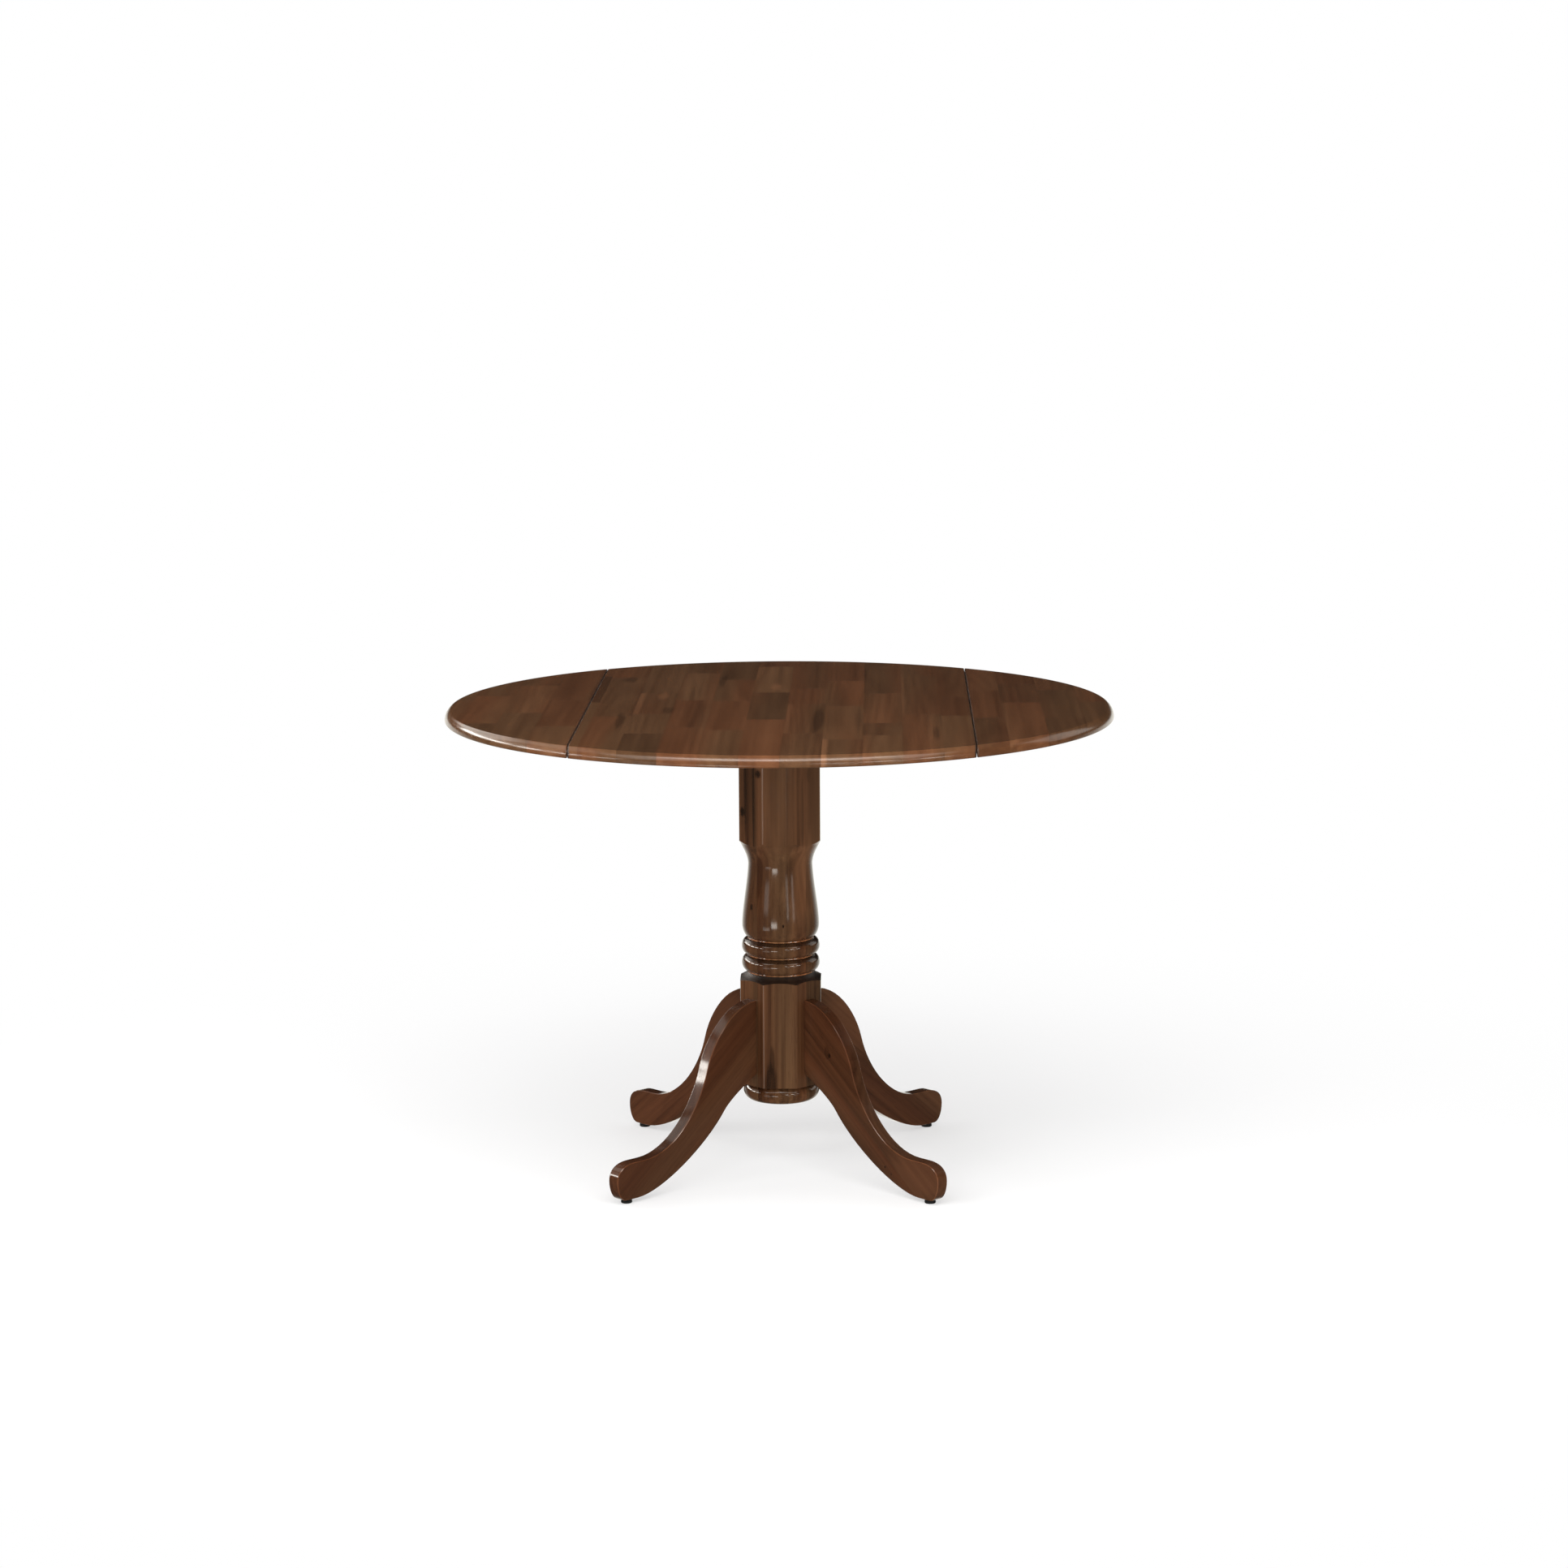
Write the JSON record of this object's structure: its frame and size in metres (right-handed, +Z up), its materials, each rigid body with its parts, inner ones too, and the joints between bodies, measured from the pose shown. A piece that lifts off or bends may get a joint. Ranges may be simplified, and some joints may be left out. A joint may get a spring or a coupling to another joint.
{
  "type": "drop-leaf pedestal table",
  "caption": "Round wooden dining table on a turned octagonal post with splayed S-curved legs; a drop leaf on each side folds down on under-top hinges with folding stays.",
  "frame": {"origin": "on the floor, on the axis of the post", "axes": "+Z up; X across the seams, with a leaf on each side; Y along the seams and the staves, -Y is the front"},
  "size_m": [1.0668, 1.0668, 0.7556],
  "materials": {
    "top_wood": "walnut-stained block-glued hardwood under satin lacquer",
    "base_wood": "dark walnut-stained hardwood under semi-gloss lacquer",
    "hinge_steel": "zinc plated, lightly dulled",
    "zinc_steel": "bright zinc plated",
    "glide_plastic": "moulded, matte"
  },
  "bodies": {
    "base": {"top_centre_panel": "top_wood", "top_mounting_plate": "base_wood", "pedestal_column": "base_wood", "leg_front_left": "base_wood", "leg_front_right": "base_wood", "leg_rear_left": "base_wood", "leg_rear_right": "base_wood", "glide_front_left": "glide_plastic", "glide_front_right": "glide_plastic", "glide_rear_left": "glide_plastic", "glide_rear_right": "glide_plastic", "plate_bolt_front_left": "zinc_steel", "plate_bolt_front_right": "zinc_steel", "plate_bolt_rear_left": "zinc_steel", "plate_bolt_rear_right": "zinc_steel", "leg_bolt_front_left_lower": "zinc_steel", "leg_bolt_front_left_upper": "zinc_steel", "leg_bolt_front_right_lower": "zinc_steel", "leg_bolt_front_right_upper": "zinc_steel", "leg_bolt_rear_left_lower": "zinc_steel", "leg_bolt_rear_left_upper": "zinc_steel", "leg_bolt_rear_right_lower": "zinc_steel", "leg_bolt_rear_right_upper": "zinc_steel", "hinge_left_front_panel_plate": "hinge_steel", "hinge_left_front_pin": "zinc_steel", "hinge_left_middle_panel_plate": "hinge_steel", "hinge_left_middle_pin": "zinc_steel", "hinge_left_rear_panel_plate": "hinge_steel", "hinge_left_rear_pin": "zinc_steel", "hinge_right_front_panel_plate": "hinge_steel", "hinge_right_front_pin": "zinc_steel", "hinge_right_middle_panel_plate": "hinge_steel", "hinge_right_middle_pin": "zinc_steel", "hinge_right_rear_panel_plate": "hinge_steel", "hinge_right_rear_pin": "zinc_steel", "stay_left_front_panel_bracket": "hinge_steel", "stay_left_rear_panel_bracket": "hinge_steel", "stay_right_front_panel_bracket": "hinge_steel", "stay_right_rear_panel_bracket": "hinge_steel"},
    "left_leaf": {"drop_leaf_left": "top_wood", "hinge_left_front_leaf_plate": "hinge_steel", "hinge_left_middle_leaf_plate": "hinge_steel", "hinge_left_rear_leaf_plate": "hinge_steel", "stay_left_front_leaf_bracket": "hinge_steel", "stay_left_rear_leaf_bracket": "hinge_steel"},
    "right_leaf": {"drop_leaf_right": "top_wood", "hinge_right_front_leaf_plate": "hinge_steel", "hinge_right_middle_leaf_plate": "hinge_steel", "hinge_right_rear_leaf_plate": "hinge_steel", "stay_right_front_leaf_bracket": "hinge_steel", "stay_right_rear_leaf_bracket": "hinge_steel"},
    "left_front_long_arm": {"stay_left_front_long_arm": "zinc_steel"},
    "left_front_short_arm": {"stay_left_front_short_arm": "zinc_steel"},
    "left_rear_long_arm": {"stay_left_rear_long_arm": "zinc_steel"},
    "left_rear_short_arm": {"stay_left_rear_short_arm": "zinc_steel"},
    "right_front_long_arm": {"stay_right_front_long_arm": "zinc_steel"},
    "right_front_short_arm": {"stay_right_front_short_arm": "zinc_steel"},
    "right_rear_long_arm": {"stay_right_rear_long_arm": "zinc_steel"},
    "right_rear_short_arm": {"stay_right_rear_short_arm": "zinc_steel"}
  },
  "joints": [
    {"name": "left_leaf_drop", "type": "hinge", "parent": "base", "child": "left_leaf", "pos_m": [-0.3048, 0, 0.73315], "axis": [0, -1, 0], "range_deg": [0, 90]},
    {"name": "right_leaf_drop", "type": "hinge", "parent": "base", "child": "right_leaf", "pos_m": [0.3048, 0, 0.73315], "axis": [0, 1, 0], "range_deg": [0, 90]},
    {"name": "left_front_stay_foot", "type": "hinge", "parent": "base", "child": "left_front_long_arm", "pos_m": [-0.21336, -0.14009, 0.72315], "axis": [0, -1, 0], "range_deg": [0, 90]},
    {"name": "left_front_stay_elbow", "type": "hinge", "parent": "left_front_long_arm", "child": "left_front_short_arm", "pos_m": [-0.34366, -0.14009, 0.71315], "axis": [0, -1, 0], "range_deg": [-90, 0]},
    {"name": "left_rear_stay_foot", "type": "hinge", "parent": "base", "child": "left_rear_long_arm", "pos_m": [-0.21336, 0.14009, 0.72315], "axis": [0, -1, 0], "range_deg": [0, 90]},
    {"name": "left_rear_stay_elbow", "type": "hinge", "parent": "left_rear_long_arm", "child": "left_rear_short_arm", "pos_m": [-0.34366, 0.14009, 0.71315], "axis": [0, -1, 0], "range_deg": [-90, 0]},
    {"name": "right_front_stay_foot", "type": "hinge", "parent": "base", "child": "right_front_long_arm", "pos_m": [0.21336, -0.14009, 0.72315], "axis": [0, 1, 0], "range_deg": [0, 90]},
    {"name": "right_front_stay_elbow", "type": "hinge", "parent": "right_front_long_arm", "child": "right_front_short_arm", "pos_m": [0.34366, -0.14009, 0.71315], "axis": [0, 1, 0], "range_deg": [-90, 0]},
    {"name": "right_rear_stay_foot", "type": "hinge", "parent": "base", "child": "right_rear_long_arm", "pos_m": [0.21336, 0.14009, 0.72315], "axis": [0, 1, 0], "range_deg": [0, 90]},
    {"name": "right_rear_stay_elbow", "type": "hinge", "parent": "right_rear_long_arm", "child": "right_rear_short_arm", "pos_m": [0.34366, 0.14009, 0.71315], "axis": [0, 1, 0], "range_deg": [-90, 0]}
  ],
  "couplings": [
    {"joint": "left_front_stay_foot", "follows": "left_leaf_drop", "ratio": 1},
    {"joint": "left_front_stay_elbow", "follows": "left_leaf_drop", "ratio": -1},
    {"joint": "left_rear_stay_foot", "follows": "left_leaf_drop", "ratio": 1},
    {"joint": "left_rear_stay_elbow", "follows": "left_leaf_drop", "ratio": -1},
    {"joint": "right_front_stay_foot", "follows": "right_leaf_drop", "ratio": 1},
    {"joint": "right_front_stay_elbow", "follows": "right_leaf_drop", "ratio": -1},
    {"joint": "right_rear_stay_foot", "follows": "right_leaf_drop", "ratio": 1},
    {"joint": "right_rear_stay_elbow", "follows": "right_leaf_drop", "ratio": -1}
  ]
}
